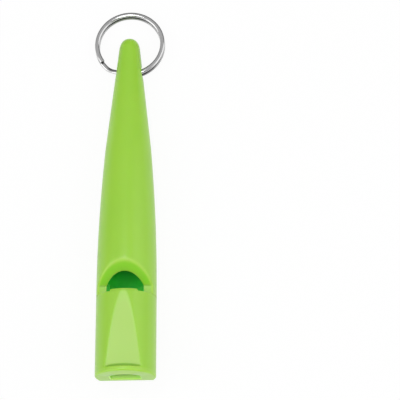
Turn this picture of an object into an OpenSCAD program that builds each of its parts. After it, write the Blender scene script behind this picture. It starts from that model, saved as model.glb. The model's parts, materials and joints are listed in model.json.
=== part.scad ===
// A pea-less dog whistle of two plastic mouldings with a steel split ring through its tip.
// It lies on the shallow flat of its back, mouthpiece towards -Y, window up, ring on the table.
// Inside each moulding's own drawing, s runs along the axis from the mouth end to the tip,
// and up is the distance from the axis towards the front, where the window is.

/* [Body] */
// Length from the mouth end to the tip, without the ring
body_len = 84.3; // [78:0.1:96]
// Largest diameter, along the straight part
body_d = 14; // [13.4:0.1:16]
// Length of the straight part, from the mouth end
straight_len = 20; // [20:0.5:24]
// Radius of the long sweep that starts the taper
sweep_r = 405; // [380:5:480]
// Length of that sweep along the axis, after which the taper runs straight
sweep_len = 36; // [30:0.5:37]
// Slope of that straight taper on each side, in degrees
taper_angle = 6.4; // [5.8:0.1:6.8]
// Diameter at which the taper levels off, so that the ring hole keeps its walls
tip_d = 5.1; // [5:0.1:6.4]
// Length over which the tip rounds off
tip_len = 3.2; // [2.5:0.1:4.5]
// Squareness of the rounded tip, 2 for an ellipse
tip_square = 2.8; // [2:0.1:5]
// How deep the flat on the back is cut at the ring hole
flat_depth = 0.4; // [0.2:0.05:0.6]

/* [Window and chamber] */
// Place of the seam between mouthpiece and horn, from the mouth end
seam_s = 18.8; // [18:0.1:19.5]
// Diameter of the resonance chamber
chamber_d = 10.4; // [9:0.1:10.8]
// Depth of the chamber from the seam
chamber_len = 15; // [10:0.5:24]
// Height of the window's side ledges above the axis
ledge_up = 2.9; // [2:0.1:3.4]
// Length of the ledges, from the seam to the foot of the ramp
ledge_len = 2.1; // [1:0.1:2.6]
// Slope of the ramp that ends in the sounding edge, in degrees
ramp_angle = 38; // [36:0.5:48]

/* [Mouthpiece] */
// Radius of the rounded rim at the mouth end
rim_r = 0.4; // [0.3:0.1:0.9]
// Length of the front bite lip
front_lip_len = 1.2; // [0.8:0.05:2]
// Distance from the mouth end at which the front flat runs out
front_flat_end = 18.3; // [16:0.1:18.6]
// Depth of the front flat at the lip
front_flat_lip_depth = 1.35; // [0.8:0.05:1.6]
// Lean of the step from the front flat up to the lip, in degrees from square
front_step_angle = 5; // [2:1:35]
// Length of the rear bite lip
rear_lip_len = 1.9; // [1.4:0.1:2.4]
// Distance of the rear lip's straight crest from the axis
rear_lip_down = 3; // [2.6:0.1:3.6]
// Depth of the groove behind the rear lip
rear_groove = 0.8; // [0.4:0.1:1]
// Distance from the seam to the start of the scoop on the back
scoop_start = 0.6; // [0.4:0.1:2]
// Radius of the scoop on the back
scoop_r = 47; // [40:1:80]

/* [Windway] */
// Width of the windway
windway_w = 6.8; // [5.6:0.1:7.2]
// Height of the windway at the mouth end
windway_entry_h = 4.2; // [3.4:0.1:4.6]
// Height of the windway's arched roof above the axis at the mouth end
windway_entry_up = 2.8; // [2.4:0.1:3.2]
// Height of the windway at the seam
windway_exit_h = 1.4; // [1:0.1:1.6]
// Height of the windway's arched roof above the axis at the seam
windway_exit_up = 4.9; // [4.6:0.1:5]
// Radius of the arched roof
windway_arch_r = 4.8; // [4.4:0.1:6]
// Width of the tongue that carries the windway's roof over the window
tongue_w = 6.2; // [5:0.1:6.6]
// Length of the tongue beyond the seam
tongue_len = 0.45; // [0.2:0.05:0.8]
// Distance of the tongue's top below the outside
tongue_set = 0.2; // [0.1:0.05:0.4]

/* [Pocket and spigot] */
// Distance of the back pocket from the mouth end
pocket_start = 4.8; // [4:0.1:6]
// Length of the back pocket
pocket_len = 12.4; // [9:0.1:12.6]
// Width of the pocket at its mouth side
pocket_w_mouth = 3; // [2:0.1:3.4]
// Width of the pocket at its tip side
pocket_w_tip = 3.5; // [2.6:0.1:4.4]
// Wall left between the pocket and the windway
pocket_wall = 1.2; // [1:0.1:1.6]
// Length of the spigot that plugs into the chamber
spigot_len = 3.5; // [2:0.1:5]
// Wall of the spigot
spigot_wall = 1.2; // [0.8:0.1:1.6]
// Radial clearance of the glued spigot in the chamber
spigot_clearance = 0.05; // [0.02:0.01:0.1]

/* [Split ring] */
// Outer diameter of the split ring
ring_od = 17.1; // [16:0.1:20]
// Width of the ring's wire, measured along its radius
wire_w = 1.15; // [0.8:0.05:1.2]
// Thickness of the ring's wire, measured along the ring's axis
wire_t = 0.66; // [0.5:0.01:0.75]
// Gap between the two turns
turn_gap = 0.42; // [0.41:0.01:0.5]
// Chamfer on the wire's corners
wire_chamfer = 0.16; // [0.1:0.01:0.2]
// Place of the crossing where one turn steps to the other, in degrees round from the hole
joggle_at = -32; // [-70:1:-30]
// Half of the angle that the crossing takes
joggle_half = 11; // [9:1:16]
// Angle from the middle of the crossing to each end of the wire
end_angle = 24; // [20:1:30]

/* [Ring hole] */
// Distance of the ring hole from the tip
hole_from_tip = 8.8; // [8.2:0.1:9.6]
// Distance of the ring hole below the axis, towards the back
hole_down = 0.5; // [0:0.1:0.7]
// Diameter of the ring hole
hole_d = 3.1; // [3:0.05:3.3]
// Radius of the hollow round each mouth of the hole
dish_r = 7; // [5:0.5:9]
// Depth of that hollow
dish_depth = 0.45; // [0.2:0.05:0.5]
// Lean of that hollow from straight sideways towards the back, in degrees
dish_lean = 22; // [0:1:30]

/* [Hidden] */
$fn = 96;
over = 1;
body_r = body_d / 2;
chamber_r = chamber_d / 2;

// The outline of the body: straight, a long sweep, a straight taper and a rounded tip
sweep_end_s = straight_len + sweep_len;
taper = tan(taper_angle);
tip_r = tip_d / 2;
tip_start_s = body_len - tip_len;
arc_facets = 360;
sweep_steps = 24;
tip_steps = 14;
function sweep_at(s) = body_r - sweep_r + sqrt(sweep_r ^ 2 - (s - straight_len) ^ 2);
level_s = sweep_end_s + (sweep_at(sweep_end_s) - tip_r) / taper;
function taper_at(s) =
    max(sweep_at(sweep_end_s) - taper * (s - sweep_end_s), tip_r - taper * max(0, s - tip_start_s));
function rounding_at(s) =
    (1 - ((s - tip_start_s) / tip_len) ^ tip_square) ^ (1 / tip_square);

// The flat on the back runs out at the seam, and the whistle rests on it
hole_s = body_len - hole_from_tip;
rest_angle = atan((body_r - taper_at(hole_s) + flat_depth) / (hole_s - seam_s));
axis_z = body_r * cos(rest_angle) + seam_s * sin(rest_angle);
hole_y = hole_s * cos(rest_angle) - hole_down * sin(rest_angle);
hole_z = axis_z - hole_s * sin(rest_angle) - hole_down * cos(rest_angle);

// The ring's middle line, and how far its centre lies from the hole when the wire fills the hole
wire_r = (ring_od - wire_w) / 2;
hole_half_len = taper_at(hole_s) - dish_depth;
wire_sag = wire_r - sqrt(wire_r ^ 2 - hole_half_len ^ 2);
ring_centre = wire_r - wire_sag / 2;
turn_pitch = wire_t + turn_gap;
stack_half = (turn_pitch + wire_t) / 2;

// The ring's far edge lies on the table
ring_reach = ring_centre + ring_od / 2;
ring_drop = asin(hole_z / norm([ring_reach, stack_half])) - atan(stack_half / ring_reach);

// The origin is under the middle of the whole length
mouth_y = -rear_lip_down * sin(rest_angle);
far_y = hole_y + ring_reach * cos(ring_drop) + stack_half * sin(ring_drop);
mid_y = (mouth_y + far_y) / 2;

// Lays a moulding that stands on its mouth end down on its back
module laid() {
    translate([0, -mid_y, axis_z])
        rotate([-90 - rest_angle, 0, 0])
            children();
}

// A side drawing with s to the right and up upwards, made as wide as w across the whistle
module across(w) {
    rotate(180, [1, 0, 1])
        linear_extrude(w, center = true)
            children();
}

module body_outline() {
    sweep = [
        for (i = [0 : sweep_steps])
            let (s = straight_len + sweep_len * i / sweep_steps)
                [sweep_at(s), s]
    ];
    tip = [
        for (i = [0 : tip_steps - 1])
            let (s = tip_start_s + tip_len * sin(90 * i / tip_steps))
                [taper_at(s) * rounding_at(s), s]
    ];
    level = [
        if (level_s < tip_start_s)
            [tip_r, level_s]
    ];
    polygon(concat([[0, 0], [body_r, 0]], sweep, level, tip, [[0, body_len]]));
}

// Everything behind the plane of the back flat
module behind_back_flat() {
    translate([-body_d, body_r, seam_s])
        rotate([rest_angle, 0, 0])
            translate([0, 0, -body_len])
                cube([2 * body_d, body_d, 3 * body_len]);
}

module window_cut() {
    ramp_s = seam_s + ledge_len;
    ramp_rise = body_r + over - ledge_up;
    across(2 * body_d)
        polygon([
            [seam_s - over, ledge_up],
            [ramp_s, ledge_up],
            [ramp_s + ramp_rise / tan(ramp_angle), body_r + over],
            [seam_s - over, body_r + over]
        ]);
}

module ring_hole() {
    dish_out = hole_half_len + dish_r;
    translate([0, hole_down, hole_s])
        rotate([0, 90, 0])
            cylinder(d = hole_d, h = 2 * body_d, center = true);
    for (side = [-1, 1])
        translate([side * dish_out * cos(dish_lean), dish_out * sin(dish_lean), hole_s])
            sphere(r = dish_r);
}

module horn() {
    color([0.55, 0.83, 0.2])
        laid()
            difference() {
                rotate_extrude()
                    difference() {
                        body_outline();
                        square([chamber_r, seam_s + chamber_len]);
                        translate([0, -over])
                            square([body_d, seam_s + over]);
                    }
                window_cut();
                behind_back_flat();
                ring_hole();
            }
}

// The outer shape of the mouthpiece, round with a rounded rim
module mouthpiece_round() {
    rotate_extrude() {
        translate([0, rim_r])
            square([body_r, seam_s - rim_r]);
        square([body_r - rim_r, seam_s]);
        translate([body_r - rim_r, rim_r])
            circle(rim_r);
    }
}

// The flat on the front, which deepens from near the seam to the bite lip
module front_flat_cut() {
    foot_s = front_lip_len + front_flat_lip_depth * tan(front_step_angle);
    rise = front_flat_lip_depth / (front_flat_end - foot_s);
    far_s = seam_s + over;
    across(2 * body_d)
        polygon([
            [far_s, body_r + rise * (far_s - front_flat_end)],
            [foot_s, body_r - front_flat_lip_depth],
            [front_lip_len - over * tan(front_step_angle), body_r + over],
            [far_s, body_r + over]
        ]);
}

// The scoop on the back, a round hollow from the seam to the groove behind the rear lip
module scoop_cut() {
    from = [seam_s - scoop_start, -body_r];
    to = [rear_lip_len, -rear_lip_down + rear_groove];
    chord = norm(to - from);
    along = (to - from) / chord;
    outward = [-along[1], along[0]];
    height = sqrt(scoop_r ^ 2 - (chord / 2) ^ 2);
    centre = (from + to) / 2 + outward * height;
    across(2 * body_d) {
        intersection() {
            translate(centre)
                circle(scoop_r, $fn = arc_facets);
            translate([rear_lip_len, -2 * body_d])
                square([seam_s, 2 * body_d]);
        }
        translate([-over, -2 * body_d])
            square([rear_lip_len + 2 * over, 2 * body_d - rear_lip_down]);
    }
}

function windway_floor(s) =
    windway_entry_up - windway_entry_h
    + (windway_exit_up - windway_exit_h - windway_entry_up + windway_entry_h) * s / seam_s;

// The windway, a duct with a flat floor and an arched roof that narrows to a slit at the seam
module windway_cut() {
    roof_slope = (windway_exit_up - windway_entry_up) / seam_s;
    intersection() {
        across(windway_w)
            polygon([
                [-over, windway_floor(-over)],
                [seam_s + over, windway_floor(seam_s + over)],
                [seam_s + over, body_r],
                [-over, body_r]
            ]);
        translate([0, -windway_entry_up, 0])
            rotate([atan(roof_slope), 0, 0])
                translate([0, windway_arch_r, -2 * body_r])
                    cylinder(r = windway_arch_r, h = seam_s + 4 * body_r);
    }
}

// The tongue at the window, cut from below by the windway
module tongue() {
    windway_exit_floor = windway_exit_up - windway_exit_h;
    intersection() {
        translate([0, 0, seam_s - over])
            cylinder(r = body_r - tongue_set, h = over + tongue_len);
        translate([-tongue_w / 2, -body_r, seam_s - over])
            cube([tongue_w, body_r - windway_exit_floor, over + tongue_len]);
    }
}

// The pocket in the back, which leaves an even wall under the windway
module pocket_cut() {
    pocket_end = pocket_start + pocket_len;
    intersection() {
        across(body_d)
            polygon([
                [pocket_start, -2 * body_r],
                [pocket_end, -2 * body_r],
                [pocket_end, windway_floor(pocket_end) - pocket_wall],
                [pocket_start, windway_floor(pocket_start) - pocket_wall]
            ]);
        rotate([90, 0, 0])
            linear_extrude(4 * body_r, center = true)
                polygon([
                    [-pocket_w_mouth / 2, pocket_start],
                    [pocket_w_mouth / 2, pocket_start],
                    [pocket_w_tip / 2, pocket_end],
                    [-pocket_w_tip / 2, pocket_end]
                ]);
    }
}

// The spigot, a half tube under the window that centres the mouthpiece in the chamber
module spigot() {
    spigot_r = chamber_r - spigot_clearance;
    difference() {
        translate([0, 0, seam_s - over])
            cylinder(r = spigot_r, h = spigot_len + over);
        translate([0, 0, seam_s])
            cylinder(r = spigot_r - spigot_wall, h = spigot_len + over);
        translate([-body_d, -body_d, seam_s])
            cube([2 * body_d, body_d, body_d]);
    }
}

module mouthpiece() {
    color([0.55, 0.83, 0.2])
        laid()
            difference() {
                union() {
                    difference() {
                        mouthpiece_round();
                        front_flat_cut();
                        scoop_cut();
                    }
                    spigot();
                    tongue();
                }
                windway_cut();
                pocket_cut();
            }
}

// The split ring's wire, two turns in two planes, with one crossing between them
turn_steps = 48;
wire_from = joggle_at - 360 + end_angle;
wire_to = joggle_at + 360 - end_angle;
wire_steps = round(turn_steps * (wire_to - wire_from) / 360);
function wire_angle(i) = wire_from + (wire_to - wire_from) * i / wire_steps;

// Height of the wire in the stack: a smooth step at the crossing
function joggle_part(a) = max(-1, min(1, (a - joggle_at) / joggle_half));
function wire_height(a) = turn_pitch / 2 * sin(90 * joggle_part(a));

// The wire's section, a flat bar with its corners taken off, as [outwards, upwards]
section = [
    for (corner = [[1, -1, 1], [1, 1, 0], [-1, 1, 1], [-1, -1, 0]], end = [0, 1])
        let (on_side = (corner[2] == end))
            [
                corner[0] * (wire_w / 2 - (on_side ? 0 : wire_chamfer)),
                corner[1] * (wire_t / 2 - (on_side ? wire_chamfer : 0))
            ]
];

// A point of the ring in the part's own frame, from its angle, radius and height in the stack
function ring_point(a, r, up) =
    let (out = ring_centre - r * cos(a))
        [
            r * sin(a),
            hole_y - mid_y + out * cos(ring_drop) + up * sin(ring_drop),
            hole_z - out * sin(ring_drop) + up * cos(ring_drop)
        ];
function wire_ring(i) = [
    for (p = section)
        ring_point(wire_angle(i), wire_r + p[0], wire_height(wire_angle(i)) + p[1])
];

// The least gap between the turns, measured on the points of the wire
near_steps = 3;
ring_gap = min([
    for (i = [0 : wire_steps - turn_steps + near_steps], j = [-near_steps : near_steps])
        let (k = i + turn_steps + j)
            if (k <= wire_steps)
                for (p = wire_ring(i), q = wire_ring(k))
                    norm(p - q)
]);

module split_ring() {
    sides = len(section);
    points = [
        for (i = [0 : wire_steps], p = wire_ring(i))
            p
    ];
    walls = [
        for (i = [0 : wire_steps - 1], j = [0 : sides - 1])
            let (
                a = i * sides + j,
                b = i * sides + (j + 1) % sides
            )
                each [[a, b, b + sides], [a, b + sides, a + sides]]
    ];
    start_cap = [
        for (j = [1 : sides - 2])
            [0, j + 1, j]
    ];
    last = wire_steps * sides;
    end_cap = [
        for (j = [1 : sides - 2])
            [last, last + j, last + j + 1]
    ];
    echo(least_gap_between_the_turns = ring_gap);
    color([0.82, 0.83, 0.85])
        polyhedron(points, concat(walls, start_cap, end_cap));
}

horn();
mouthpiece();
split_ring();
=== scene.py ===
import json
import math
from types import SimpleNamespace

import bpy
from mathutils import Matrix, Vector


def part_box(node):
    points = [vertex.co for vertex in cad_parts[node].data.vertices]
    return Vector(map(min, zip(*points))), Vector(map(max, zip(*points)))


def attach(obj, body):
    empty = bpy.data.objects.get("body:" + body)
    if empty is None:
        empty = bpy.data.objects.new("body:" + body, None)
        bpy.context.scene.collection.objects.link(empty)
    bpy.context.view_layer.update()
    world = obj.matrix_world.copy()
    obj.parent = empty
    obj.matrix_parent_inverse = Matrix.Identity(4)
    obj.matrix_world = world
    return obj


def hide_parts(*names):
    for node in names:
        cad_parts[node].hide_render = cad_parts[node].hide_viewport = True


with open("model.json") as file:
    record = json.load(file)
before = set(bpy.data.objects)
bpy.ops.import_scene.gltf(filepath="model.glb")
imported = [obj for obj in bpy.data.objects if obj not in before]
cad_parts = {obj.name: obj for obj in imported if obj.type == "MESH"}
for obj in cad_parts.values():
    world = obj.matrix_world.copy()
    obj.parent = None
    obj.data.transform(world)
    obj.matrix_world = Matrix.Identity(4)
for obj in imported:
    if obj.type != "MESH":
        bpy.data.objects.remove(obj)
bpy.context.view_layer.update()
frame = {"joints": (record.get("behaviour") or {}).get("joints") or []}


# The horn: the long tapered body of the whistle, one glossy green ABS moulding. It is solid above
# a short resonance chamber, which opens at the seam and in the sound window on the front.
# A shallow flat runs down its back, and a hole with dished mouths crosses its tip.
mm = 0.001
hole = frame["joints"][0]["pos_m"]
horn_low, horn_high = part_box("horn")
horn_sizes = {
    "body_r": (horn_high.x - horn_low.x) / 2,
    "body_len": 84.3 * mm,
    "straight_len": 20 * mm,
    "sweep_r": 405 * mm,
    "sweep_len": 36 * mm,
    "taper_slope": math.tan(math.radians(6.4)),
    "tip_len": 3.2 * mm,
    "tip_square": 2.8,
    "seam_s": 18.8 * mm,
    "chamber_r": 5.2 * mm,
    "chamber_len": 15 * mm,
    "ledge_up": 2.9 * mm,
    "ledge_len": 2.1 * mm,
    "ramp_slope": math.tan(math.radians(38)),
    "hole_s": 75.5 * mm,
    "hole_down": 0.5 * mm,
    "hole_r": 1.55 * mm,
    "dish_r": 7 * mm,
    "dish_depth": 0.45 * mm,
    "dish_lean": math.radians(22),
    "edge_r": 0.3 * mm,
    "window_edge_r": 0.7 * mm,
    "flat_edge_r": 0.1 * mm,
    "flat_sink": 0.03 * mm,
    "seam_edge_r": 0.14 * mm,
}
size = SimpleNamespace(**horn_sizes)

# The whistle rests on its back flat, which runs out at the seam, so its axis drops towards the tip
seam_to_hole = size.hole_s - size.seam_s
back_to_hole = size.body_r - size.hole_down
hole_lean = math.atan2(seam_to_hole, back_to_hole)
rest_angle = math.acos(hole[2] / math.hypot(back_to_hole, seam_to_hole)) - hole_lean
mouth_y = hole[1] - size.hole_s * math.cos(rest_angle) + size.hole_down * math.sin(rest_angle)
mouth_z = hole[2] + size.hole_s * math.sin(rest_angle) + size.hole_down * math.cos(rest_angle)


class Wire:
    """A socket of a node tree. Arithmetic on wires and numbers adds the Math nodes for it."""

    def __init__(self, tree, socket=None):
        self.tree = tree
        self.socket = socket

    def node(self, kind, settings=None, sockets=None, output=0):
        """Adds a node: its settings first, then the values or links of its sockets."""
        made = self.tree.nodes.new(kind)
        for name, value in (settings or {}).items():
            setattr(made, name, value)
        for name, value in (sockets or {}).items():
            if isinstance(value, Wire):
                self.tree.links.new(value.socket, made.inputs[name])
            else:
                made.inputs[name].default_value = value
        return Wire(self.tree, made.outputs[output])

    def maths(self, operation, *values):
        return self.node("ShaderNodeMath", {"operation": operation}, dict(enumerate(values)))

    def __add__(self, other):
        return self.maths("ADD", self, other)

    def __sub__(self, other):
        return self.maths("SUBTRACT", self, other)

    def __rsub__(self, other):
        return self.maths("SUBTRACT", other, self)

    def __mul__(self, other):
        return self.maths("MULTIPLY", self, other)

    def __truediv__(self, other):
        return self.maths("DIVIDE", self, other)

    def __rtruediv__(self, other):
        return self.maths("DIVIDE", other, self)

    def __pow__(self, other):
        return self.maths("POWER", self, other)

    def __neg__(self):
        return self.maths("MULTIPLY", self, -1)

    __radd__ = __add__
    __rmul__ = __mul__

    def sqrt(self):
        return self.maths("SQRT", self.at_least(0))

    def sin(self):
        return self.maths("SINE", self)

    def cos(self):
        return self.maths("COSINE", self)

    def size(self):
        return self.maths("ABSOLUTE", self)

    def sign(self):
        return self.maths("SIGN", self)

    def at_least(self, other):
        return self.maths("MAXIMUM", self, other)

    def at_most(self, other):
        return self.maths("MINIMUM", self, other)

    def eased_max(self, other, radius):
        return self.maths("SMOOTH_MAX", self, other, radius)

    def eased_min(self, other, radius):
        return self.maths("SMOOTH_MIN", self, other, radius)

    def share(self, start, end):
        """0 up to start, 1 from end on, and even between them."""
        return ((self - start) / (end - start)).at_least(0).at_most(1)

    def mix(self, low, high):
        """A colour between two, by this wire's value."""
        return self.node("ShaderNodeMix", {"data_type": "RGBA"}, {0: self, 6: low, 7: high}, 2)

    def xyz(self, x, y, z):
        return self.node("ShaderNodeCombineXYZ", {}, {0: x, 1: y, 2: z})


def sized_tree(name, sizes):
    """A geometry tree with a named input for each size, and a wire from each input."""
    tree = bpy.data.node_groups.new(name, "GeometryNodeTree")
    for label in sizes:
        tree.interface.new_socket(label, in_out="INPUT", socket_type="NodeSocketFloat")
    tree.interface.new_socket("Geometry", in_out="OUTPUT", socket_type="NodeSocketGeometry")
    entry = tree.nodes.new("NodeGroupInput")
    return Wire(tree), SimpleNamespace(**{label: Wire(tree, entry.outputs[label]) for label in sizes})


def spaced(number, zones):
    """Where a row or column falls, when each zone gives its count and its length or angle."""
    reached, first = 0, 0
    for count, length in zones:
        reached = number.share(first, first + count) * length + reached
        first += count
    return reached


weld_gap, clean_gap = 0.002 * mm, 0.001 * mm
crease_angle = math.radians(32)


def wrapped(start, rows, columns, place):
    """A closed skin: a grid whose points go where place puts each row and column."""
    grid = start.node(
        "GeometryNodeMeshGrid",
        {},
        {"Size X": columns, "Size Y": rows, "Vertices X": columns + 1, "Vertices Y": rows + 1},
    )
    spot = start.node("GeometryNodeInputPosition")
    split = {"Vector": spot}
    column = start.node("ShaderNodeSeparateXYZ", {}, split, 0) + columns / 2
    row = start.node("ShaderNodeSeparateXYZ", {}, split, 1) + rows / 2
    point, marks = place(row, column)
    for label, value in marks.items():
        grid = start.node(
            "GeometryNodeStoreNamedAttribute",
            {"data_type": "FLOAT", "domain": "POINT"},
            {"Geometry": grid, "Name": label, "Value": value},
        )
    moved = start.node("GeometryNodeSetPosition", {}, {"Geometry": grid, "Position": point})
    return start.node("GeometryNodeMergeByDistance", {}, {"Geometry": moved, "Distance": weld_gap})


def marked(skin, label, value):
    """Marks every face of a skin, so that the mark stays on the faces which a cut leaves of it."""
    settings = {"data_type": "FLOAT", "domain": "FACE"}
    sockets = {"Geometry": skin, "Name": label, "Value": value}
    return skin.node("GeometryNodeStoreNamedAttribute", settings, sockets)


def laid(start, x, s, up):
    """A point of the whistle, from its place across, along and above the axis."""
    y = mouth_y + s * math.cos(rest_angle) + up * math.sin(rest_angle)
    z = mouth_z - s * math.sin(rest_angle) + up * math.cos(rest_angle)
    return start.xyz(x, y, z)


def combined(operation, skin, tool):
    """Cuts a tool out of a skin, or joins the two."""
    sockets = {"Mesh 2": tool}
    if operation == "DIFFERENCE":
        sockets["Mesh 1"] = skin
    made = skin.node("GeometryNodeMeshBoolean", {"operation": operation, "solver": "MANIFOLD"}, sockets)
    if operation == "UNION":
        skin.tree.links.new(skin.socket, made.socket.node.inputs["Mesh 2"])
    return made


def baked(name, skin, sizes, material):
    """Ends a tree, with creases where faces meet at an angle, and bakes it into a plain mesh object."""
    angle = skin.node("GeometryNodeInputMeshEdgeAngle")
    clean = skin.node("GeometryNodeMergeByDistance", {}, {"Geometry": skin, "Distance": clean_gap})
    smooth = skin.node("GeometryNodeSetShadeSmooth", {"domain": "FACE"}, {"Geometry": clean})
    crease = angle.maths("GREATER_THAN", angle, crease_angle)
    sockets = {"Geometry": smooth, "Selection": crease, "Shade Smooth": False}
    creased = skin.node("GeometryNodeSetShadeSmooth", {"domain": "EDGE"}, sockets)
    real = skin.node("GeometryNodeRealizeInstances", {}, {"Geometry": creased})
    finished = skin.node("GeometryNodeSetMaterial", {}, {"Geometry": real, "Material": material})
    tree = skin.tree
    tree.links.new(finished.socket, tree.nodes.new("NodeGroupOutput").inputs["Geometry"])
    piece = bpy.data.objects.new(name, bpy.data.meshes.new(name))
    bpy.context.scene.collection.objects.link(piece)
    modifier = piece.modifiers.new(name, "NODES")
    modifier.node_group = tree
    for item in tree.interface.items_tree:
        if item.in_out == "INPUT":
            modifier[item.identifier] = sizes[item.name]
    graph = bpy.context.evaluated_depsgraph_get()
    mesh = bpy.data.meshes.new_from_object(piece.evaluated_get(graph))
    piece.modifiers.clear()
    piece.data = mesh
    return piece


def tapered_radius(s, size):
    """The body's radius at a place along it: straight, a long sweep, then a straight taper."""
    run = (s - size.straight_len).at_least(0)
    swept = run.at_most(size.sweep_len)
    bow = (size.sweep_r * size.sweep_r - swept * swept).sqrt()
    return size.body_r - size.sweep_r + bow - size.taper_slope * (run - swept)


def eased_end(distance, radius):
    """How far a rounded edge draws in at a distance from the end."""
    left = (radius - distance).at_least(0)
    return radius - (radius * radius - left * left).sqrt()


# How strongly rounded edges take the painted edge highlight.
sheen_gain = 6
seam_half, seam_fade = 0.12 * mm, 0.08 * mm


def horn_skin(start, size):
    """The horn's outside: for each row and column, the nearest of its faces, met with rounded edges."""
    tip_rows = 18
    row_counts = (2, 4, 6, 8, 10, 8, 8, 56, 48)
    rows = sum(row_counts)
    front = [(30, 60), (11, 11)]
    side_columns, edge_columns, flat_columns = 34, 8, 6
    half_columns = sum(count for count, angle in front) + side_columns + edge_columns + flat_columns

    def place(row, column):
        degrees = math.pi / 180
        turn = column - half_columns
        side, number = turn.sign(), turn.size()
        front_angle = spaced(number, [(count, angle * degrees) for count, angle in front])
        front_cos = front_angle.cos()

        ramp_s = size.seam_s + size.ledge_len
        near, lip_inset = 0.35 * mm, 0.03 * mm
        lip_s = ramp_s + ((size.body_r - lip_inset) * front_cos - size.ledge_up) / size.ramp_slope
        ramp_run = (lip_s - ramp_s).at_least(3 * near)
        before_hole = 6 * mm
        body_run = size.hole_s - before_hole - ramp_s - ramp_run - near
        lengths = [
            0 * mm,
            size.seam_edge_r,
            size.ledge_len - size.seam_edge_r - near,
            2 * near,
            ramp_run - 2 * near,
            near,
            near,
            body_run,
            size.body_len - size.tip_len - size.hole_s + before_hole,
        ]
        along = spaced(row, zip(row_counts, lengths))
        tip_turn = row.share(rows, rows + tip_rows) * (math.pi / 2)
        s = size.seam_s + along + size.tip_len * tip_turn.sin() ** (2 / size.tip_square)
        outline = tapered_radius(s, size) * tip_turn.cos().at_least(0) ** (2 / size.tip_square)

        back_down = size.body_r - (s - size.seam_s) * math.tan(rest_angle)
        ratio = (back_down / tapered_radius(s, size)).at_most(1)
        least_half = 8 * degrees
        flat_half = ratio.maths("ARCCOSINE", ratio).at_least(least_half)
        band = flat_half.at_most(least_half) * 0.5
        front_total = sum(angle for count, angle in front) * degrees
        angle = spaced(
            number,
            [(count, angle * degrees) for count, angle in front]
            + [
                (side_columns, math.pi - front_total - flat_half - band),
                (edge_columns, 2 * band),
                (flat_columns, flat_half - band),
            ],
        )
        across, above = angle.sin(), angle.cos()

        ramp_up = size.ledge_up + (s - ramp_s) * size.ramp_slope
        window_up = ramp_up.eased_max(size.ledge_up, size.edge_r)
        grazing = 0.05
        window = window_up / above.at_least(grazing)
        sink = (0.2 - across * across).at_least(0) * size.flat_sink
        back = (back_down - sink) / (-above).at_least(grazing)
        dish_x = tapered_radius(size.hole_s, size) - size.dish_depth + size.dish_r
        dish_near = dish_x * (across * size.dish_lean.cos() - above * size.dish_lean.sin())
        dish_along = s - size.hole_s
        inside = dish_near * dish_near - dish_x * dish_x - dish_along * dish_along
        inside = inside + size.dish_r * size.dish_r
        missed = inside.maths("LESS_THAN", inside, 0)
        dish = dish_near - inside.sqrt() + missed

        crisp = outline.at_most(window).at_most(back).at_most(dish)
        reach = outline.eased_min(window, size.window_edge_r)
        reach = reach.eased_min(back, size.flat_edge_r).eased_min(dish, size.edge_r)
        reach = reach - eased_end(s - size.seam_s, size.seam_edge_r)
        reach = reach * row.share(0, 1)
        # How much painted highlight each point on a rounded edge gets, from how far the edge draws in.
        edge_lit = (crisp - reach) / size.edge_r * sheen_gain
        ramp_fade, foot_half, foot_fade = 0.6 * mm, 0.25 * mm, 0.15 * mm
        # Marks the ramp face for its painted shade.
        opened = (outline - window).share(0, ramp_fade)
        ramp = opened * (s - ramp_s).share(0, ramp_fade)
        foot = opened * (foot_half - (s - ramp_s).size()).share(0, foot_fade)
        seam = (seam_half - s + size.seam_s).share(0, seam_fade)
        point = laid(start, side * across * reach, s, above * reach)
        # The ramp's foot is painted darker as shade, and the seam as a darker line.
        dark = (foot * 0.6).at_least(seam * 0.6)
        marks = {"edge_sheen": edge_lit.at_most(1), "ramp_face": ramp, "corner_shade": dark}
        return point, marks

    return wrapped(start, rows + tip_rows, 2 * half_columns, place)


def chamber_tool(start, size):
    """The resonance chamber, a round bore from the seam with an eased bottom edge."""
    columns, bottom_rows = 96, 6
    bottom_r, past = 1 * mm, 1 * mm

    def place(row, column):
        angle = column * (2 * math.pi / columns)
        open_s = size.seam_s - past
        bottom_turn = row.share(2, 2 + bottom_rows) * (math.pi / 2)
        straight = size.chamber_len + past - bottom_r
        s = open_s + straight * row.share(1, 2) + bottom_r * bottom_turn.sin()
        reach = size.chamber_r - bottom_r + bottom_r * bottom_turn.cos()
        reach = reach * (row.share(0, 1) - row.share(2 + bottom_rows, 3 + bottom_rows))
        return laid(start, angle.sin() * reach, s, angle.cos() * reach), {}

    # Its faces take the painted light and shade of the chamber's walls.
    return marked(wrapped(start, 3 + bottom_rows, columns, place), "inner_wall", 1.0)


def ring_hole_tool(start, size):
    """The hole across the tip, with both mouths eased where they meet the dishes."""
    columns, mouth_rows = 64, 6
    mouth_r, past = 0.3 * mm, 0.12 * mm
    row_counts = (1, 1, mouth_rows, 2, mouth_rows, 1)
    rows = sum(row_counts)

    def place(row, column):
        angle = column * (2 * math.pi / columns)
        body_r = tapered_radius(size.hole_s, size)
        wall_s, wall_up = angle.cos() * size.hole_r, angle.sin() * size.hole_r - size.hole_down
        dish_x = body_r - size.dish_depth + size.dish_r
        dish_up = wall_up + dish_x * size.dish_lean.sin()
        dished = (size.dish_r * size.dish_r - wall_s * wall_s - dish_up * dish_up).sqrt()
        dish_face = dish_x * size.dish_lean.cos() - dished
        mouth_x = (body_r * body_r - wall_up * wall_up).sqrt().at_most(dish_face) + past
        outside = size.body_r - mouth_x
        lengths = [0 * mm, outside, mouth_r, 2 * (mouth_x - mouth_r), mouth_r, outside]
        x = spaced(row, zip(row_counts, lengths)) - size.body_r
        reach = size.hole_r + eased_end(mouth_x - x.size(), mouth_r)
        reach = reach * (row.share(0, 1) - row.share(rows, rows + 1))
        return laid(start, x, size.hole_s + angle.cos() * reach, angle.sin() * reach - size.hole_down), {}

    return wrapped(start, rows + 1, columns, place)


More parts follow.
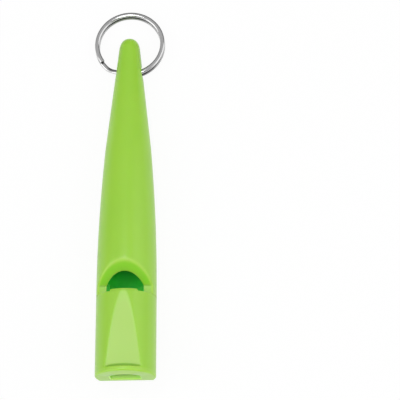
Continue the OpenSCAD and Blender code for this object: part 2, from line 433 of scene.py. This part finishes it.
deep_lime = (0.325, 0.635, 0.043, 1)
bright_lime = (0.36, 0.668, 0.052, 1)
# The colours below paint light and shade into the plastic: edge highlights, a toned flat and ramp, shade,
# and hollows lit and shaded.
sheen_lime = (0.46, 0.72, 0.10, 1)
flat_sheen_lime = (0.355, 0.615, 0.053, 1)
slot_lit_lime = (0.54, 0.93, 0.15, 1)
ramp_green = (0.275, 0.68, 0.028, 1)
shade_green = (0.14, 0.38, 0.012, 1)
chamber_lit_green = (0.08, 0.97, 0.11, 1)
chamber_shade_green = (0.035, 0.6, 0.08, 1)


def lime_plastic():
    """Glossy green ABS: faint flow streaks, a fine orange peel and hairline scratches. Painted into its
    colour are highlights on the edges and the front flat, shade on the ramp and in the corners, and light
    and shade in the hollows."""
    material = bpy.data.materials.new("lime_plastic")
    material.use_nodes = True
    tree = material.node_tree
    start = Wire(tree)
    shader = tree.nodes["Principled BSDF"]
    spot = start.node("ShaderNodeTexCoord", output=3)

    def noise(scale, detail, stretch=(1, 1, 1), turn=0.0):
        mapped = start.node(
            "ShaderNodeMapping", {}, {"Vector": spot, "Scale": stretch, "Rotation": (0, 0, turn)}
        )
        return start.node("ShaderNodeTexNoise", {}, {"Vector": mapped, "Scale": scale, "Detail": detail})

    def mark(label):
        return start.node("ShaderNodeAttribute", {"attribute_name": label}, output=2)

    streaks = noise(220, 3, (1, 0.12, 1))
    clouds = noise(70, 2)
    peel = noise(1500, 2)
    grain = noise(5200, 2)
    hairs = noise(14000, 2, (1, 0.015, 1), 0.5).share(0.68, 0.74)
    hairs = hairs + noise(14000, 2, (0.015, 1, 1), 0.2).share(0.69, 0.75)
    edge_lit = mark("edge_sheen").share(0.1, 0.9)

    shade = (streaks * 0.55 + clouds * 0.45).share(0.3, 0.7)
    colour = shade.mix(deep_lime, bright_lime)
    # The ramp is painted a more saturated green, standing in for the darker reflection and light it gets.
    colour = mark("ramp_face").mix(colour, ramp_green)
    # The front flat is painted a less green tone, a painted sheen for the lamp reflected in it.
    colour = mark("flat_face").mix(colour, flat_sheen_lime)
    # Rounded edges are painted paler as a highlight, and are also a little rougher.
    colour = (edge_lit * 0.5).mix(colour, sheen_lime)
    # Corners, the lip step's foot, the seam and the spigot's edges are painted a darker green as shade;
    # they are also rougher.
    corner = mark("corner_shade")
    colour = (corner * 0.6).mix(colour, shade_green)
    along = start.node("ShaderNodeSeparateXYZ", {}, {"Vector": spot}, 1)
    # The chamber's walls are painted with light and shade: lighter towards the mouth end, darker towards
    # the tip.
    chamber_lit_y, chamber_dim_y = -22 * mm, -17.5 * mm
    chamber = along.share(chamber_lit_y, chamber_dim_y).mix(chamber_lit_green, chamber_shade_green)
    colour = mark("inner_wall").mix(colour, chamber)
    # The windway is painted light near the mouth and a darker shade green deeper in, as light and shade in
    # the slot.
    windway = along.share(mouth_y + 0.5 * mm, mouth_y + 1.3 * mm).mix(slot_lit_lime, shade_green)
    colour = mark("slot_wall").mix(colour, windway)
    tree.links.new(colour.socket, shader.inputs["Base Color"])
    roughness = 0.24 + clouds * 0.06 + grain * 0.05 + hairs * 0.06 + edge_lit * 0.05 + corner * 0.3
    tree.links.new(roughness.socket, shader.inputs["Roughness"])
    height = peel * 0.7 + grain * 0.3 - hairs * 0.1
    bump = start.node("ShaderNodeBump", {}, {"Height": height, "Strength": 0.12, "Distance": 0.02 * mm})
    tree.links.new(bump.socket, shader.inputs["Normal"])
    shader.inputs["IOR"].default_value = 1.53
    shader.inputs["Subsurface Weight"].default_value = 0.4
    shader.inputs["Subsurface Radius"].default_value = (0.6, 1.0, 0.2)
    shader.inputs["Subsurface Scale"].default_value = 1.5 * mm
    return material


lime = lime_plastic()
start, inputs = sized_tree("horn_shape", horn_sizes)
skin = combined("DIFFERENCE", horn_skin(start, inputs), chamber_tool(start, inputs))
skin = combined("DIFFERENCE", skin, ring_hole_tool(start, inputs))
horn = baked("horn_moulding", skin, horn_sizes, lime)
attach(horn, "whistle")
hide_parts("horn")


# The mouthpiece: the second moulding of the same green ABS, glued to the horn by a half-tube spigot.
# A flat on its front and a scoop on its back leave lips at the mouth end for the teeth to hold.
# The windway runs through it to the window, and a slot-shaped pocket cores out its back.
mouthpiece_sizes = {
    "body_r": size.body_r,
    "seam_s": size.seam_s,
    "seam_edge_r": size.seam_edge_r,
    "rim_r": 0.4 * mm,
    "crest_r": 0.25 * mm,
    "front_lip_len": 1.2 * mm,
    "flat_end": 18.3 * mm,
    "flat_lip_depth": 1.35 * mm,
    "step_lean": math.tan(math.radians(5)),
    "rear_lip_len": 1.9 * mm,
    "rear_lip_down": 3 * mm,
    "rear_groove": 0.8 * mm,
    "scoop_start": 0.6 * mm,
    "scoop_r": 47 * mm,
    "edge_r": 0.22 * mm,
    "flat_edge_r": 0.12 * mm,
    "flat_crown": 0.02 * mm,
    "lip_edge_r": 0.3 * mm,
    "foot_r": 0.2 * mm,
    "windway_w": 6.8 * mm,
    "entry_h": 4.2 * mm,
    "entry_up": 2.8 * mm,
    "exit_h": 1.4 * mm,
    "exit_up": 4.9 * mm,
    "arch_r": 4.8 * mm,
    "tongue_w": 6.2 * mm,
    "tongue_len": 0.45 * mm,
    "tongue_r": size.body_r - 0.2 * mm,
    "pocket_start": 4.8 * mm,
    "pocket_len": 12.4 * mm,
    "pocket_w_mouth": 3 * mm,
    "pocket_w_tip": 3.5 * mm,
    "pocket_wall": 1.2 * mm,
    "spigot_len": 3.5 * mm,
    "spigot_wall": 1.2 * mm,
    "spigot_r": size.chamber_r - 0.05 * mm,
}


def scoop_down(s, size):
    """How far below the axis the scoop on the back lies: one large arc from the seam to the rear lip."""
    from_s, from_down = size.seam_s - size.scoop_start, size.body_r
    to_s, to_down = size.rear_lip_len, size.rear_lip_down - size.rear_groove
    run, rise = to_s - from_s, to_down - from_down
    chord = (run * run + rise * rise).sqrt()
    height = (size.scoop_r * size.scoop_r - chord * chord / 4).sqrt()
    centre_s = (from_s + to_s) / 2 + height * rise / chord
    centre_down = (from_down + to_down) / 2 - height * run / chord
    offset = s - centre_s
    return centre_down - (size.scoop_r * size.scoop_r - offset * offset).sqrt()


def mouthpiece_skin(start, size):
    """The mouthpiece's outside, round with a rounded rim, cut by the front flat and the rear scoop."""
    columns, rim_rows = 240, 8
    row_counts = (2 + rim_rows, 14, 1, 12, 20, 64, 12, 4)
    rows = sum(row_counts)

    def place(row, column):
        angle = (column - columns / 2) * (2 * math.pi / columns)
        across, above = angle.sin(), angle.cos()
        rim_turn = row.share(2, 2 + rim_rows) * (math.pi / 2)
        step_run = size.flat_lip_depth * size.step_lean
        foot_run, beyond, before_seam = 0.5 * mm, 0.9 * mm, 0.9 * mm
        lengths = [
            0 * mm,
            size.front_lip_len - size.rim_r,
            step_run,
            foot_run,
            beyond,
            size.seam_s - size.front_lip_len - step_run - (foot_run + beyond) - before_seam,
            before_seam - size.seam_edge_r,
            size.seam_edge_r,
        ]
        s = size.rim_r - size.rim_r * rim_turn.cos() + spaced(row, zip(row_counts, lengths))
        outline = size.body_r - eased_end(s, size.rim_r)

        foot_s = size.front_lip_len + step_run
        lip_up = size.body_r - size.flat_lip_depth
        slope = size.flat_lip_depth / (size.flat_end - foot_s)
        grazing = 0.05
        step_depth = (size.body_r - lip_up / above.at_least(grazing)).at_least(0)
        past_step = s.maths("GREATER_THAN", s, size.front_lip_len + step_run / 2)
        foot = eased_end((s - foot_s).at_least(0), (step_depth / 2).at_most(size.foot_r))
        crown = (across * across + (s / size.flat_end) ** 2) * size.flat_crown
        front = (lip_up + (s - foot_s) * slope + foot - crown) / above.at_least(grazing)
        front = front + (1 - past_step) * size.body_r
        lip_r = step_depth.at_most(size.lip_edge_r)
        lip = eased_end((size.front_lip_len - s).at_least(0), lip_r) * (1 - past_step)

        groove_down = size.rear_lip_down - size.rear_groove
        lip_slope = 7
        lip_face = groove_down + (size.rear_lip_len - s) * lip_slope
        crest = size.rear_lip_down - eased_end(s, size.crest_r)
        rear_lip = lip_face.eased_min(crest, size.edge_r)
        rear = scoop_down(s, size).eased_max(rear_lip, size.edge_r) / (-above).at_least(grazing)

        crisp = outline.at_most(front).at_most(rear)
        reach = outline.eased_min(front, size.flat_edge_r).eased_min(rear, size.edge_r)
        reach = reach - lip - eased_end(size.seam_s - s, size.seam_edge_r)
        reach = reach * (row.share(0, 2) - row.share(rows, rows + 2))
        # Painted highlight on the rounded edges, and on the front lip near the mouth.
        edge_lit = (crisp - reach) / size.edge_r * sheen_gain
        edge_lit = edge_lit.at_least((size.front_lip_len - s).share(0, 0.3 * mm) * 0.6)
        # The foot of the front lip's step is painted darker as shade, and the seam as a darker line.
        shaded = foot_s + step_depth * 0.35 + 0.3 * mm
        corner = past_step * (shaded - s).share(0, 0.25 * mm) * step_depth.share(0, 0.3 * mm)
        seam = (seam_half - size.seam_s + s).share(0, seam_fade)
        point = laid(start, across * reach, s, above * reach)
        # Marks the front flat for its painted sheen.
        flat = past_step * (outline - front).share(0, 0.2 * mm)
        dark = corner.at_least(seam * 0.6)
        marks = {"edge_sheen": edge_lit.at_most(1), "corner_shade": dark, "flat_face": flat}
        return point, marks

    return wrapped(start, rows + 2, columns, place)


def spigot_tool(start, size):
    """The half tube under the window that centres the mouthpiece in the chamber."""
    arc, ends = 32, 1

    def place(row, column):
        lap = 1 * mm
        turned = column.share(0, arc) - column.share(arc + ends, 2 * arc + ends)
        inner = column.share(arc, arc + ends) - column.share(2 * arc + ends, 2 * arc + 2 * ends)
        capped = 1 - row.share(0, 1) + row.share(2, 3)
        angle = math.pi / 2 + turned * math.pi
        reach = size.spigot_r - size.spigot_wall * inner.at_least(capped)
        s = size.seam_s - lap + (size.spigot_len + lap) * row.share(1, 2)
        first_edge = (column - arc - ends / 2).size()
        last_edge = (column - 2 * arc - 1.5 * ends).size().at_most((column + ends / 2).size())
        edge = column.maths("LESS_THAN", first_edge.at_most(last_edge), 0.6 * ends)
        # The spigot's long edges take the painted corner shade.
        return laid(start, angle.sin() * reach, s, angle.cos() * reach), {"corner_shade": edge}

    # The spigot inside the chamber takes most of the chamber's painted light and shade.
    return marked(wrapped(start, 3, 2 * arc + 2 * ends, place), "inner_wall", 0.85)


def tongue_tool(start, size):
    """The short tongue that carries the windway's roof over the window, with its end edges eased."""
    top, side, bottom = 24, 4, 12
    row_counts = (1, 2, 4)
    rows = sum(row_counts)
    lap, edge_r = 1 * mm, 0.1 * mm

    def place(row, column):
        lengths = [0 * mm, size.tongue_len + lap - edge_r, edge_r]
        s = size.seam_s - lap + spaced(row, zip(row_counts, lengths))
        inset = eased_end(size.seam_s + size.tongue_len - s, edge_r)
        share = column.share(0, top) - 0.5 - column.share(top + side, top + side + bottom)
        x = (size.tongue_w - 2 * inset) * share
        lowered = column.share(top, top + side) - column.share(top + side + bottom, top + 2 * side + bottom)
        roof_r = size.tongue_r - inset
        top_up = (roof_r * roof_r - x * x).sqrt()
        low_up = size.exit_up - size.exit_h
        middle = (size.tongue_r + low_up) / 2
        open_end = row.share(0, 1) - row.share(rows, rows + 1)
        up = middle + (top_up + (low_up - top_up) * lowered - middle) * open_end
        # The tongue's eased end edges take the painted edge highlight.
        return laid(start, x * open_end, s, up), {"edge_sheen": inset / edge_r}

    return wrapped(start, rows + 1, top + 2 * side + bottom, place)


def windway_floor(s, size):
    """How far above the axis the windway's floor lies at a place along it."""
    entry = size.entry_up - size.entry_h
    return entry + (size.exit_up - size.exit_h - entry) * s / size.seam_s


def windway_tool(start, size):
    """The windway: a flat floor under an arched roof, narrowing to a slit, with its mouth edges eased."""
    floor, wall, roof = 12, 3, 24
    row_counts = (1, 1, 6, 20)
    rows = sum(row_counts)
    mouth_r, past, least_height = 0.3 * mm, 1 * mm, 0.05 * mm

    def place(row, column):
        lengths = [0 * mm, past, mouth_r, size.seam_s + past - mouth_r]
        s = spaced(row, zip(row_counts, lengths)) - past
        flare = eased_end(s, mouth_r)
        width = size.windway_w + 2 * flare
        share = 0.5 - column.share(0, floor) + column.share(floor + wall, floor + wall + roof)
        x = width * share
        raised = column.share(floor, floor + wall)
        raised = raised - column.share(floor + wall + roof, floor + 2 * wall + roof)
        floor_up = windway_floor(s, size) - flare
        crown = size.entry_up + (size.exit_up - size.entry_up) * s / size.seam_s + flare
        arch = size.arch_r - (size.arch_r * size.arch_r - x * x).sqrt()
        roof_up = (crown - arch).at_least(floor_up + least_height)
        up = floor_up + (roof_up - floor_up) * raised
        middle = (floor_up + crown) / 2
        open_end = row.share(0, 1) - row.share(rows, rows + 1)
        return laid(start, x * open_end, s, middle + (up - middle) * open_end), {}

    # Its faces take the windway's painted light and shade.
    return marked(wrapped(start, rows + 1, floor + 2 * wall + roof, place), "slot_wall", 1.0)


def pocket_tool(start, size):
    """The pocket in the back, a slot with rounded corners and an eased edge, floored under the windway."""
    columns, mouth_rows = 96, 6
    mouth_r, past, squareness = 0.3 * mm, 3 * mm, 0.2

    def place(row, column):
        angle = (column + 0.5) * (2 * math.pi / columns)
        cosine, sine = angle.cos(), angle.sin()
        along = sine.sign() * sine.size() ** squareness
        across = cosine.sign() * cosine.size() ** squareness
        inset = row.share(2, 2 + mouth_rows) * (math.pi / 2)
        flare = mouth_r * (1 - inset.sin())
        open_end = row.share(0, 1) - row.share(3 + mouth_rows, 4 + mouth_rows)
        s = size.pocket_start + size.pocket_len / 2 + along * (size.pocket_len / 2 + flare) * open_end
        widening = (size.pocket_w_tip - size.pocket_w_mouth) / size.pocket_len
        width = size.pocket_w_mouth + (s - size.pocket_start) * widening
        x = across * (width / 2 + flare) * open_end
        outside = -scoop_down(s, size)
        inside = windway_floor(s, size) - size.pocket_wall
        deep = row.share(2 + mouth_rows, 3 + mouth_rows)
        up = outside - past * (1 - row.share(1, 2)) + mouth_r * (1 - inset.cos())
        up = up + (inside - outside - mouth_r) * deep
        return laid(start, x, s, up), {}

    return wrapped(start, 4 + mouth_rows, columns, place)


start, inputs = sized_tree("mouthpiece_shape", mouthpiece_sizes)
skin = combined("UNION", mouthpiece_skin(start, inputs), spigot_tool(start, inputs))
skin = combined("UNION", skin, tongue_tool(start, inputs))
skin = combined("DIFFERENCE", skin, windway_tool(start, inputs))
skin = combined("DIFFERENCE", skin, pocket_tool(start, inputs))
mouthpiece = baked("mouthpiece_moulding", skin, mouthpiece_sizes, lime)
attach(mouthpiece, "whistle")
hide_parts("mouthpiece")


# The split ring: a stock key ring of bright nickel-plated steel wire with a flattened section,
# wound two turns against each other. One turn steps over to the other near the tip's hole,
# which the ring is threaded through, and both ends of the wire are cut square beside that step.
ring_low, ring_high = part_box("split_ring")
ring_sizes = {
    "ring_r": (ring_high.x - ring_low.x) / 2,
    "wire_w": 1.15 * mm,
    "wire_t": 0.8 * mm,
    "turn_pitch": 0.94 * mm,
    "joggle_at": math.radians(-32),
    "joggle_half": math.radians(14),
    "end_angle": math.radians(24),
    "turn_shift": 0.2 * mm,
}
ring = SimpleNamespace(**ring_sizes)

# The wire bows through the hole, and the ring's far edge lies on the table
wire_r = ring.ring_r - ring.wire_w / 2
sweep_drop = size.sweep_r - math.sqrt(size.sweep_r**2 - size.sweep_len**2)
taper_run = size.hole_s - size.straight_len - size.sweep_len
hole_half_len = size.body_r - sweep_drop - taper_run * size.taper_slope - size.dish_depth
wire_sag = wire_r - math.sqrt(wire_r**2 - hole_half_len**2)
ring_centre = wire_r - wire_sag / 2
stack_half = (ring.turn_pitch + ring.wire_t) / 2
ring_reach = ring_centre + ring.ring_r
ring_drop = math.asin(hole[2] / math.hypot(ring_reach, stack_half)) - math.atan(stack_half / ring_reach)


def ring_skin(start, size):
    """The wire: two turns of a soft-cornered flat section, the lower one a little nearer the whistle."""
    turn_rows, columns, end_rows = 240, 24, 3
    squareness = 0.82
    upper_from, lower_from, line_half = 0.12, 0.55, 0.35

    def place(row, column):
        first = end_rows
        wound = row.share(first, first + turn_rows)
        total = 4 * math.pi - 2 * size.end_angle
        from_start = total * wound
        turn = size.joggle_at - total / 2 + from_start
        step = ((turn - size.joggle_at) / size.joggle_half).at_least(-1).at_most(1)
        stepped = (step * (math.pi / 2)).sin()
        level = size.turn_pitch / 2 * stepped
        lower = (1 - stepped) / 2
        angle = (column + 0.5) * (-2 * math.pi / columns)
        cosine, sine = angle.cos(), angle.sin()
        capped = row.share(0, 1) - row.share(first + turn_rows + end_rows - 1, first + turn_rows + end_rows)
        outward = cosine.sign() * cosine.size() ** squareness * size.wire_w / 2 * capped
        upward = sine.sign() * sine.size() ** squareness * size.wire_t / 2 * capped
        reach = size.ring_r - size.wire_w / 2 + outward
        up = level + upward
        out = ring_centre - reach * turn.cos() - lower * size.turn_shift
        y = hole[1] + out * math.cos(ring_drop) + up * math.sin(ring_drop)
        z = hole[2] - out * math.sin(ring_drop) + up * math.cos(ring_drop)
        beside = (turn - size.joggle_at).size().share(size.end_angle, size.end_angle + 0.1)
        # Painted shade: the groove between the turns and a line along the lower turn's sides are marked to
        # be painted dark.
        groove = ((upper_from - sine) * (1 - lower) + (sine - lower_from) * lower) * beside
        side_line = (line_half - sine.size()) * lower * beside
        dark = groove.at_least(side_line)
        marks = {"wire_along": from_start * size.ring_r, "wire_round": angle, "shaded_side": dark}
        return start.xyz(reach * turn.sin(), y, z), marks

    return wrapped(start, turn_rows + 2 * end_rows, columns, place)


dull_nickel = (0.63, 0.63, 0.63, 1)
clear_nickel = (0.75, 0.75, 0.75, 1)
groove_grey = (0.05, 0.05, 0.05, 1)


def bright_nickel():
    """Nickel plate on drawn wire: fine lines along the wire, duller handling marks and small nicks.
    The groove between the turns and a line along the lower turn's sides are painted dark, as shade."""
    material = bpy.data.materials.new("bright_nickel")
    material.use_nodes = True
    tree = material.node_tree
    start = Wire(tree)
    shader = tree.nodes["Principled BSDF"]
    spot = start.node("ShaderNodeTexCoord", output=3)
    along = start.node("ShaderNodeAttribute", {"attribute_name": "wire_along"}, output=2)
    around = start.node("ShaderNodeAttribute", {"attribute_name": "wire_round"}, output=2)
    drawn_spot = start.xyz(along * 60, around.sin() * 4, around.cos() * 4)
    drawn = start.node("ShaderNodeTexNoise", {}, {"Vector": drawn_spot, "Scale": 5, "Detail": 3})
    marks = start.node("ShaderNodeTexNoise", {}, {"Vector": spot, "Scale": 700, "Detail": 3})
    shaded = start.node("ShaderNodeAttribute", {"attribute_name": "shaded_side"}, output=2)
    groove = shaded.share(0.0, 0.25)
    colour = (drawn * 0.6 + marks * 0.4).share(0.3, 0.7).mix(dull_nickel, clear_nickel)
    colour = groove.mix(colour, groove_grey)
    tree.links.new(colour.socket, shader.inputs["Base Color"])
    roughness = 0.08 + drawn * 0.05 + marks.share(0.5, 0.75) * 0.06 + groove * 0.3
    tree.links.new(roughness.socket, shader.inputs["Roughness"])
    height = drawn * 0.7 + marks * 0.3
    bump = start.node("ShaderNodeBump", {}, {"Height": height, "Strength": 0.025, "Distance": 0.01 * mm})
    tree.links.new(bump.socket, shader.inputs["Normal"])
    shader.inputs["Metallic"].default_value = 1
    return material


start, inputs = sized_tree("split_ring_shape", ring_sizes)
split_ring = baked("split_ring_wire", ring_skin(start, inputs), ring_sizes, bright_nickel())
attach(split_ring, "ring")
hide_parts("split_ring")


# The stage: a white table top in a white room, under five soft lamps. The room is darker in mirrors,
# with a pale wall on the left, and a long lens sees the whistle from above, leaning a little towards
# the mouth end, so that it stands upright in the picture.
paper_shade = (0.92, 0.92, 0.92, 1)
paper_white = (0.96, 0.96, 0.96, 1)


def white_paper():
    """Matt white paper that takes the whistle's shadow and brightens to white where the camera sees it."""
    material = bpy.data.materials.new("white_paper")
    material.use_nodes = True
    tree = material.node_tree
    start = Wire(tree)
    shader = tree.nodes["Principled BSDF"]
    spot = start.node("ShaderNodeTexCoord", output=3)
    fibre = start.node("ShaderNodeTexNoise", {}, {"Vector": spot, "Scale": 900, "Detail": 4})
    colour = fibre.mix(paper_shade, paper_white)
    tree.links.new(colour.socket, shader.inputs["Base Color"])
    shader.inputs["Roughness"].default_value = 0.9
    shader.inputs["Specular IOR Level"].default_value = 0.1
    glow = start.node("ShaderNodeEmission", {}, {"Color": (1, 1, 1, 1), "Strength": 1})
    camera_ray = start.node("ShaderNodeLightPath", output=0)
    glossy_ray = start.node("ShaderNodeLightPath", output=3)
    seen = camera_ray.at_least(glossy_ray) * 0.93
    mixed = start.node("ShaderNodeMixShader", {}, {0: seen, 1: Wire(tree, shader.outputs[0]), 2: glow})
    tree.links.new(mixed.socket, tree.nodes["Material Output"].inputs["Surface"])
    return material


floor_half = 6
floor_mesh = bpy.data.meshes.new("table_top")
corners = ((-1, -1), (1, -1), (1, 1), (-1, 1))
floor_mesh.from_pydata([(x * floor_half, y * floor_half, 0) for x, y in corners], [], [(0, 1, 2, 3)])
floor_mesh.materials.append(white_paper())
floor = bpy.data.objects.new("table_top", floor_mesh)
bpy.context.scene.collection.objects.link(floor)

world = bpy.data.worlds.new("white_room")
world.use_nodes = True
bpy.context.scene.world = world
room = Wire(world.node_tree)
seen_by_camera = room.node("ShaderNodeLightPath", output=0)
direction = room.node("ShaderNodeTexCoord", output=0)
leftward = -room.node("ShaderNodeSeparateXYZ", {}, {"Vector": direction}, 0)
height = room.node("ShaderNodeSeparateXYZ", {}, {"Vector": direction}, 2)
seen_in_gloss = room.node("ShaderNodeLightPath", output=3)
ambient = 0.12 + height.share(0.35, 0.8) * 0.62
mirrored = 0.05 + height.share(0.4, 0.8) * 0.47 + leftward.share(0.4, 0.9) * 0.42
strength = ambient + (mirrored - ambient) * seen_in_gloss
background = world.node_tree.nodes["Background"]
background.inputs["Color"].default_value = (1, 1, 1, 1)
world.node_tree.links.new(strength.at_least(seen_by_camera).socket, background.inputs["Strength"])


def softbox(name, place, aim, width, depth, watts):
    """A large soft lamp at a place, turned to shine at a point."""
    lamp = bpy.data.lights.new(name, "AREA")
    lamp.shape = "RECTANGLE"
    lamp.size, lamp.size_y, lamp.energy = width, depth, watts
    holder = bpy.data.objects.new(name, lamp)
    holder.location = place
    holder.rotation_euler = (Vector(aim) - Vector(place)).to_track_quat("-Z", "Y").to_euler()
    bpy.context.scene.collection.objects.link(holder)
    return holder


softbox("overhead_softbox", (-0.065, 0.085, 0.62), (0, -0.03, 0), 0.24, 0.15, 0.6)
softbox("left_softbox", (-0.55, -0.1, 0.45), (0, 0, 0), 0.5, 0.5, 1.1)
softbox("right_softbox", (0.6, 0.05, 0.4), (0, 0, 0), 0.75, 0.75, 1.75)
softbox("near_softbox", (0.03, -0.13, 0.62), (0, -0.02, 0), 0.15, 0.1, 0.25)
front_lamp = softbox("front_softbox", (0.0, -0.7, 0.16), (0, 0, 0), 0.5, 0.25, 0.9)
front_lamp.visible_glossy = False

camera_data = bpy.data.cameras.new("camera")
camera_data.sensor_width = 36
camera_data.lens = 156.5
camera = bpy.data.objects.new("camera", camera_data)
camera.location = (41.98 * mm, -111.77 * mm, 398.71 * mm)
camera.rotation_mode = "ZYX"
camera.rotation_euler = (math.radians(15.413), math.radians(3.491), math.radians(-1.339))
camera_data.clip_start, camera_data.clip_end = 0.01, 50
bpy.context.scene.collection.objects.link(camera)
bpy.context.scene.camera = camera
bpy.context.scene.view_settings.view_transform = "Standard"
